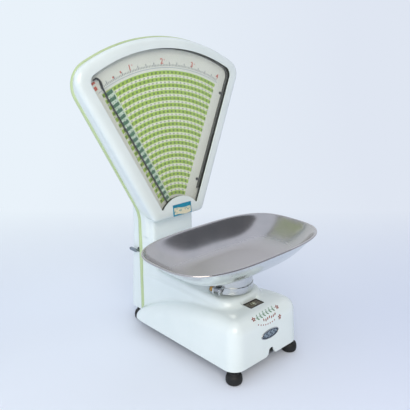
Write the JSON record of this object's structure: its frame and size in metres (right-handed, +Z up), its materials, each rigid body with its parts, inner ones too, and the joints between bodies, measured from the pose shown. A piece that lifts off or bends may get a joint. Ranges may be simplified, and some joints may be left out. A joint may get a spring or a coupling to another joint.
{
  "type": "counter fan scale",
  "caption": "Enamelled counter scale with a fan-shaped chart head, a lift-off steel pan on a cup, a lever and pendulum movement and levelling feet.",
  "frame": {"origin": "middle of the footprint, on the surface that the feet stand on", "axes": "+Z up, +X to the right of someone who faces the chart, +Y to the rear, away from the pan"},
  "size_m": [0.4544, 0.407, 0.6725],
  "materials": {
    "enamel": "glossy vitreous enamel",
    "bead_enamel": "glossy enamel",
    "frame_paint": "plain workshop paint",
    "tool_steel": "ground",
    "dark_steel": "darkened, satin",
    "stainless": "polished stainless sheet",
    "cup_steel": "turned and plated",
    "brass": "turned",
    "foot_rubber": "moulded",
    "gasket_rubber": "extruded",
    "clear_glass": "clear",
    "chart_paint": "printed satin lacquer",
    "black_lacquer": "satin",
    "badge_paint": "glossy",
    "chin_paint": "glossy",
    "dash_alloy": "turned"
  },
  "bodies": {
    "casing": {"base_casing": "enamel", "head_casing": "enamel", "rear_cover": "enamel", "seam_bead": "bead_enamel", "base_plate": "frame_paint", "fulcrum_stand": "frame_paint", "fulcrum_bearings": "tool_steel", "check_pin": "tool_steel", "upright_post": "frame_paint", "movement_frame": "frame_paint", "shaft_bushes": "brass", "chart_support": "frame_paint", "chart_plate": "chart_paint", "chart_screws": "black_lacquer", "window_gasket": "gasket_rubber", "window_glass": "clear_glass", "rear_chart": "chart_paint", "rear_glass": "clear_glass", "dashpot_cylinder": "dash_alloy", "level_frame": "black_lacquer", "level_vial": "clear_glass", "badge_plate": "badge_paint", "chin_plate": "chin_paint", "cover_screws": "tool_steel", "lock_bush": "gasket_rubber"},
    "pan": {"pan": "stainless", "pan_boss": "stainless"},
    "carrier": {"pan_cup": "cup_steel", "cup_band": "cup_steel", "clamp_screw": "tool_steel", "clamp_nut": "brass", "load_stem": "tool_steel", "load_yoke": "frame_paint", "load_bearing": "tool_steel"},
    "lever": {"main_lever": "frame_paint", "fulcrum_knife": "tool_steel", "load_knife": "tool_steel", "tare_weight": "brass"},
    "check_link": {"check_link": "frame_paint"},
    "band": {"pull_band": "tool_steel", "band_hook": "tool_steel"},
    "piston": {"dashpot_piston": "tool_steel"},
    "pointer": {"pointer_shaft": "tool_steel", "pointer_arm": "black_lacquer", "price_strip": "chart_paint", "band_sector": "brass", "pendulum_arm": "tool_steel", "pendulum_bob": "brass", "rear_pointer": "black_lacquer"},
    "lock": {"lock_lever": "dark_steel", "lock_finger": "dark_steel"},
    "foot_front_left": {"foot_pad_front_left": "foot_rubber", "foot_stud_front_left": "tool_steel"},
    "foot_front_right": {"foot_pad_front_right": "foot_rubber", "foot_stud_front_right": "tool_steel"},
    "foot_rear_left": {"foot_pad_rear_left": "foot_rubber", "foot_stud_rear_left": "tool_steel"},
    "foot_rear_right": {"foot_pad_rear_right": "foot_rubber", "foot_stud_rear_right": "tool_steel"}
  },
  "joints": [
    {"name": "cup_sink", "type": "slide", "parent": "casing", "child": "carrier", "axis": [0, 0, 1], "range_m": [-0.005, 0], "stiffness_N_per_m": 8000, "springref_m": 0.006},
    {"name": "pan_lift", "type": "slide", "parent": "carrier", "child": "pan", "axis": [0, 0, 1], "range_m": [0, 0.06]},
    {"name": "lever_turn", "type": "hinge", "parent": "casing", "child": "lever", "pos_m": [0, -0.1565, 0.085], "axis": [1, 0, 0], "range_deg": [-3.7, 0]},
    {"name": "link_turn", "type": "hinge", "parent": "casing", "child": "check_link", "pos_m": [0, -0.1565, 0.058], "axis": [1, 0, 0], "range_deg": [-3.7, 0]},
    {"name": "band_pull", "type": "slide", "parent": "casing", "child": "band", "axis": [0, -0.1219, -0.9925], "range_m": [0, 0.0176]},
    {"name": "piston_slide", "type": "slide", "parent": "casing", "child": "piston", "axis": [0, 0, 1], "range_m": [-0.011, 0]},
    {"name": "pointer_turn", "type": "hinge", "parent": "casing", "child": "pointer", "pos_m": [0, 0.079, 0.257], "axis": [0, 0.9925, -0.1219], "range_deg": [0, 54.9]},
    {"name": "lock_turn", "type": "hinge", "parent": "casing", "child": "lock", "pos_m": [-0.07, 0.1585, 0.1865], "axis": [1, 0, 0], "range_deg": [-45, 0]},
    {"name": "foot_screw_front_left", "type": "slide", "parent": "casing", "child": "foot_front_left", "axis": [0, 0, 1], "range_m": [-0.008, 0]},
    {"name": "foot_screw_front_right", "type": "slide", "parent": "casing", "child": "foot_front_right", "axis": [0, 0, 1], "range_m": [-0.008, 0]},
    {"name": "foot_screw_rear_left", "type": "slide", "parent": "casing", "child": "foot_rear_left", "axis": [0, 0, 1], "range_m": [-0.008, 0]},
    {"name": "foot_screw_rear_right", "type": "slide", "parent": "casing", "child": "foot_rear_right", "axis": [0, 0, 1], "range_m": [-0.008, 0]}
  ],
  "couplings": [
    {"joint": "lever_turn", "follows": "cup_sink", "rad_per_m": 12.82},
    {"joint": "link_turn", "follows": "cup_sink", "rad_per_m": 12.82},
    {"joint": "band_pull", "follows": "cup_sink", "ratio": -3.5005},
    {"joint": "piston_slide", "follows": "cup_sink", "ratio": 2.1795},
    {"joint": "pointer_turn", "follows": "cup_sink", "rad_per_m": -191.29}
  ]
}
